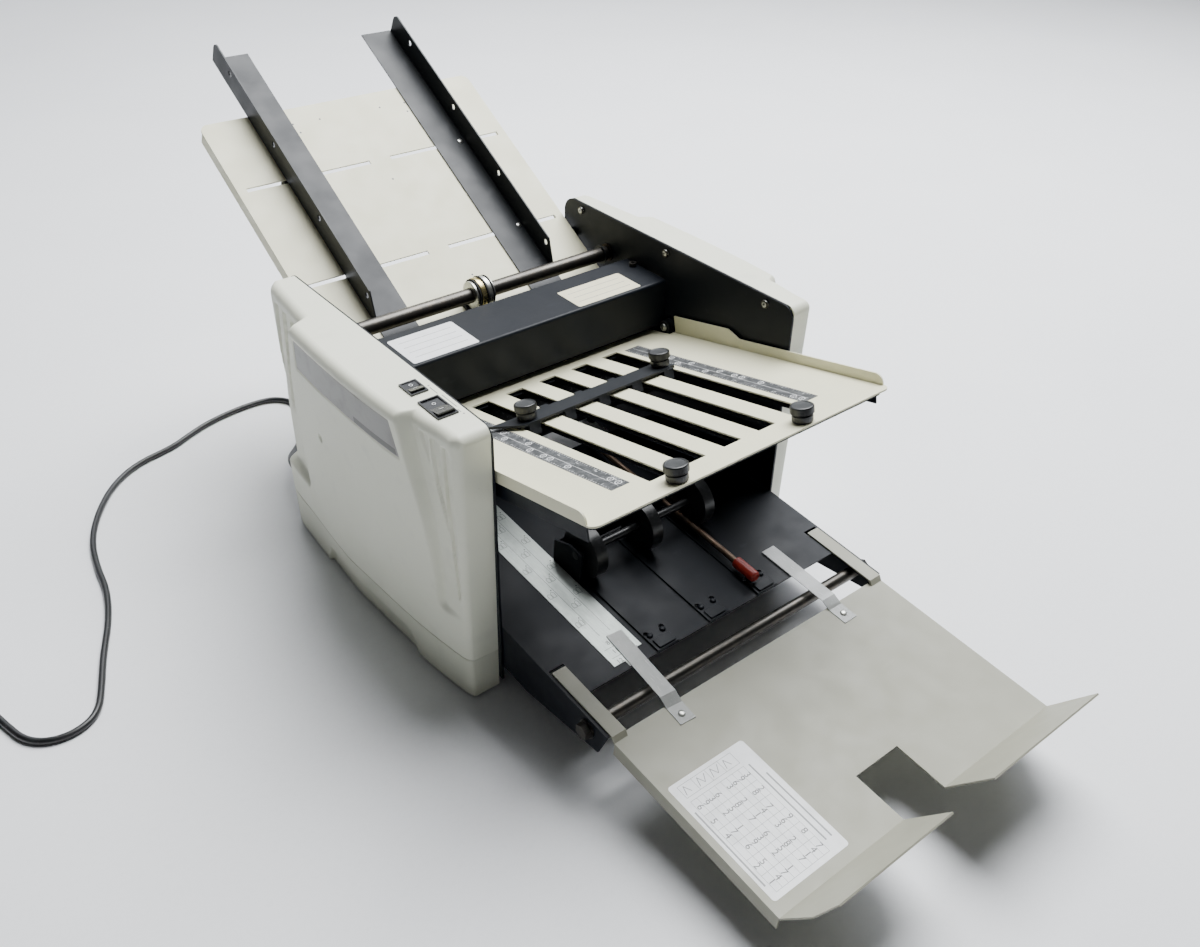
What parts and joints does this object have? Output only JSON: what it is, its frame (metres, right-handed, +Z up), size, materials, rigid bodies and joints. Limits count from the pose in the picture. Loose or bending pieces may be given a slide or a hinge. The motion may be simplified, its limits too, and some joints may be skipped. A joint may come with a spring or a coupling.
{
  "type": "paper folding machine",
  "caption": "Desktop paper folder with a sloped feed table and guides, tilting slotted fold table, roller train, stacker deck and lift-off catch tray between two side covers.",
  "frame": {"origin": "centre of the machine's outer box on the surface it stands on, without the cord", "axes": "+X to the right-hand cover, -Y to the front where folded sheets come out, +Z up"},
  "size_m": [0.8555, 0.9908, 0.4374],
  "materials": {
    "cover": "satin textured, warm off-white",
    "base": "satin textured, warm off-white",
    "cream": "satin cream paint",
    "tray": "satin warm grey paint",
    "black": "satin blue-black paint",
    "guide": "fine textured charcoal paint",
    "steel": "turned steel",
    "shaft": "dark oiled steel",
    "zinc": "bright zinc plate",
    "brass": "yellow zinc plate",
    "rubber": "soft black rubber",
    "knob": "moulded black",
    "switch": "moulded black",
    "red": "dipped red vinyl",
    "aluminium": "printed satin aluminium",
    "clear": "clear flexible plastic",
    "gear": "natural nylon",
    "motor": "painted motor can",
    "bronze": "sintered bronze",
    "cord": "black flexible jacket"
  },
  "bodies": {
    "frame": {"left_side_plate": "black", "right_side_plate": "black", "left_cover": "cover", "right_cover": "cover", "left_cover_base": "base", "right_cover_base": "base", "cover_screws": "zinc", "rubber_feet": "rubber", "tie_bars": "steel", "exit_deck": "black", "front_rod": "black", "rod_bolts": "black", "scale_strip": "aluminium", "feed_table": "cream", "separator_pad": "rubber", "shaft_bearings": "bronze", "roller_cover": "black", "table_bosses": "black", "switch_bezels": "switch", "motor": "motor", "belts": "rubber", "strain_relief": "knob", "cord": "cord", "cord_coil": "cord", "cord_tie": "cord", "plug": "cord"},
    "left_guide": {"left_paper_guide": "guide"},
    "right_guide": {"right_paper_guide": "guide"},
    "left_guide_clamp": {"left_guide_knob": "knob"},
    "right_guide_clamp": {"right_guide_knob": "knob"},
    "feed_roller": {"feed_shaft": "shaft", "feed_wheel_hub": "brass", "feed_wheel_tyre": "rubber"},
    "roller_top": {"fold_roller_top": "rubber", "gear_top": "gear"},
    "roller_middle": {"fold_roller_middle": "rubber", "gear_middle": "gear"},
    "roller_lower": {"fold_roller_lower": "rubber", "gear_lower": "gear"},
    "roller_exit": {"fold_roller_exit": "rubber", "gear_exit": "gear"},
    "motor_rotor": {"motor_pulley": "steel"},
    "fold_table": {"fold_table_top": "cream", "fold_table_bottom": "black"},
    "fold_stop": {"stop_bar": "black", "stop_fingers": "zinc"},
    "left_stop_clamp": {"left_stop_knob": "knob"},
    "right_stop_clamp": {"right_stop_knob": "knob"},
    "left_front_clamp": {"left_front_knob": "knob"},
    "right_front_clamp": {"right_front_knob": "knob"},
    "second_table": {"second_fold_table": "black"},
    "second_stop": {"second_stop_bar": "black"},
    "stacker": {"stacker_carriage": "black", "carriage_rod": "steel", "rod_cap": "red"},
    "stacker_roller": {"stacker_wheels": "rubber"},
    "tray": {"catch_tray": "tray", "clear_strips": "clear"},
    "small_switch": {"small_rocker": "switch"},
    "large_switch": {"large_rocker": "switch"}
  },
  "joints": [
    {"name": "left_guide_slide", "type": "slide", "parent": "frame", "child": "left_guide", "axis": [-1, 0, 0], "range_m": [-0.05, 0.043]},
    {"name": "right_guide_slide", "type": "slide", "parent": "frame", "child": "right_guide", "axis": [1, 0, 0], "range_m": [-0.05, 0.043]},
    {"name": "left_guide_clamp_turn", "type": "hinge", "parent": "left_guide", "child": "left_guide_clamp", "pos_m": [-0.0995, 0.34734, 0.32214], "axis": [0, -0.503, 0.8643], "range_deg": [0, 360]},
    {"name": "right_guide_clamp_turn", "type": "hinge", "parent": "right_guide", "child": "right_guide_clamp", "pos_m": [0.1105, 0.34734, 0.32214], "axis": [0, -0.503, 0.8643], "range_deg": [0, 360]},
    {"name": "roller_middle_spin", "type": "hinge", "parent": "frame", "child": "roller_middle", "pos_m": [0.0055, 0.08426, 0.18071], "axis": [1, 0, 0], "continuous": true},
    {"name": "roller_top_spin", "type": "hinge", "parent": "frame", "child": "roller_top", "pos_m": [0.0055, 0.09229, 0.212], "axis": [1, 0, 0], "continuous": true},
    {"name": "roller_lower_spin", "type": "hinge", "parent": "frame", "child": "roller_lower", "pos_m": [0.0055, 0.06033, 0.15902], "axis": [1, 0, 0], "continuous": true},
    {"name": "roller_exit_spin", "type": "hinge", "parent": "frame", "child": "roller_exit", "pos_m": [0.0055, 0.06836, 0.12773], "axis": [1, 0, 0], "continuous": true},
    {"name": "feed_roller_spin", "type": "hinge", "parent": "frame", "child": "feed_roller", "pos_m": [0.0055, 0.15429, 0.2445], "axis": [1, 0, 0], "continuous": true},
    {"name": "motor_spin", "type": "hinge", "parent": "frame", "child": "motor_rotor", "pos_m": [0.0055, 0.16029, 0.062], "axis": [1, 0, 0], "continuous": true},
    {"name": "fold_table_tilt", "type": "hinge", "parent": "frame", "child": "fold_table", "pos_m": [0.0055, 0.04496, 0.201], "axis": [-1, 0, 0], "range_deg": [0, 40]},
    {"name": "fold_stop_slide", "type": "slide", "parent": "fold_table", "child": "fold_stop", "axis": [0, -0.9736, 0.2284], "range_m": [-0.05, 0.16]},
    {"name": "left_stop_clamp_turn", "type": "hinge", "parent": "fold_stop", "child": "left_stop_clamp", "pos_m": [-0.0735, -0.03724, 0.22675], "axis": [0, 0.2284, 0.9736], "range_deg": [0, 360]},
    {"name": "right_stop_clamp_turn", "type": "hinge", "parent": "fold_stop", "child": "right_stop_clamp", "pos_m": [0.0845, -0.03724, 0.22675], "axis": [0, 0.2284, 0.9736], "range_deg": [0, 360]},
    {"name": "left_front_clamp_turn", "type": "hinge", "parent": "fold_table", "child": "left_front_clamp", "pos_m": [-0.069, -0.23043, 0.26795], "axis": [0, 0.2284, 0.9736], "range_deg": [0, 360]},
    {"name": "right_front_clamp_turn", "type": "hinge", "parent": "fold_table", "child": "right_front_clamp", "pos_m": [0.0705, -0.23043, 0.26795], "axis": [0, 0.2284, 0.9736], "range_deg": [0, 360]},
    {"name": "second_table_slide", "type": "slide", "parent": "frame", "child": "second_table", "axis": [0, 0.9781, -0.2079], "range_m": [0, 0.1]},
    {"name": "second_stop_slide", "type": "slide", "parent": "second_table", "child": "second_stop", "axis": [0, 0.9781, -0.2079], "range_m": [-0.1, 0.034]},
    {"name": "stacker_slide", "type": "slide", "parent": "frame", "child": "stacker", "axis": [0, -0.9968, -0.0802], "range_m": [-0.1, 0.08]},
    {"name": "stacker_roller_spin", "type": "hinge", "parent": "stacker", "child": "stacker_roller", "pos_m": [0.0055, -0.10992, 0.10706], "axis": [1, 0, 0], "continuous": true},
    {"name": "tray_lift", "type": "slide", "parent": "frame", "child": "tray", "axis": [0, -0.0802, 0.9968], "range_m": [0, 0.06]},
    {"name": "small_switch_rock", "type": "hinge", "parent": "frame", "child": "small_switch", "pos_m": [-0.1811, -0.03321, 0.2835], "axis": [1, 0, 0], "range_deg": [0, 14]},
    {"name": "large_switch_rock", "type": "hinge", "parent": "frame", "child": "large_switch", "pos_m": [-0.1811, -0.07091, 0.2835], "axis": [1, 0, 0], "range_deg": [0, 14]}
  ],
  "couplings": [
    {"joint": "roller_top_spin", "follows": "roller_middle_spin", "ratio": -1},
    {"joint": "roller_lower_spin", "follows": "roller_middle_spin", "ratio": -1},
    {"joint": "roller_exit_spin", "follows": "roller_middle_spin", "ratio": 1},
    {"joint": "feed_roller_spin", "follows": "roller_middle_spin", "ratio": -1},
    {"joint": "motor_spin", "follows": "roller_middle_spin", "ratio": 2.4}
  ]
}
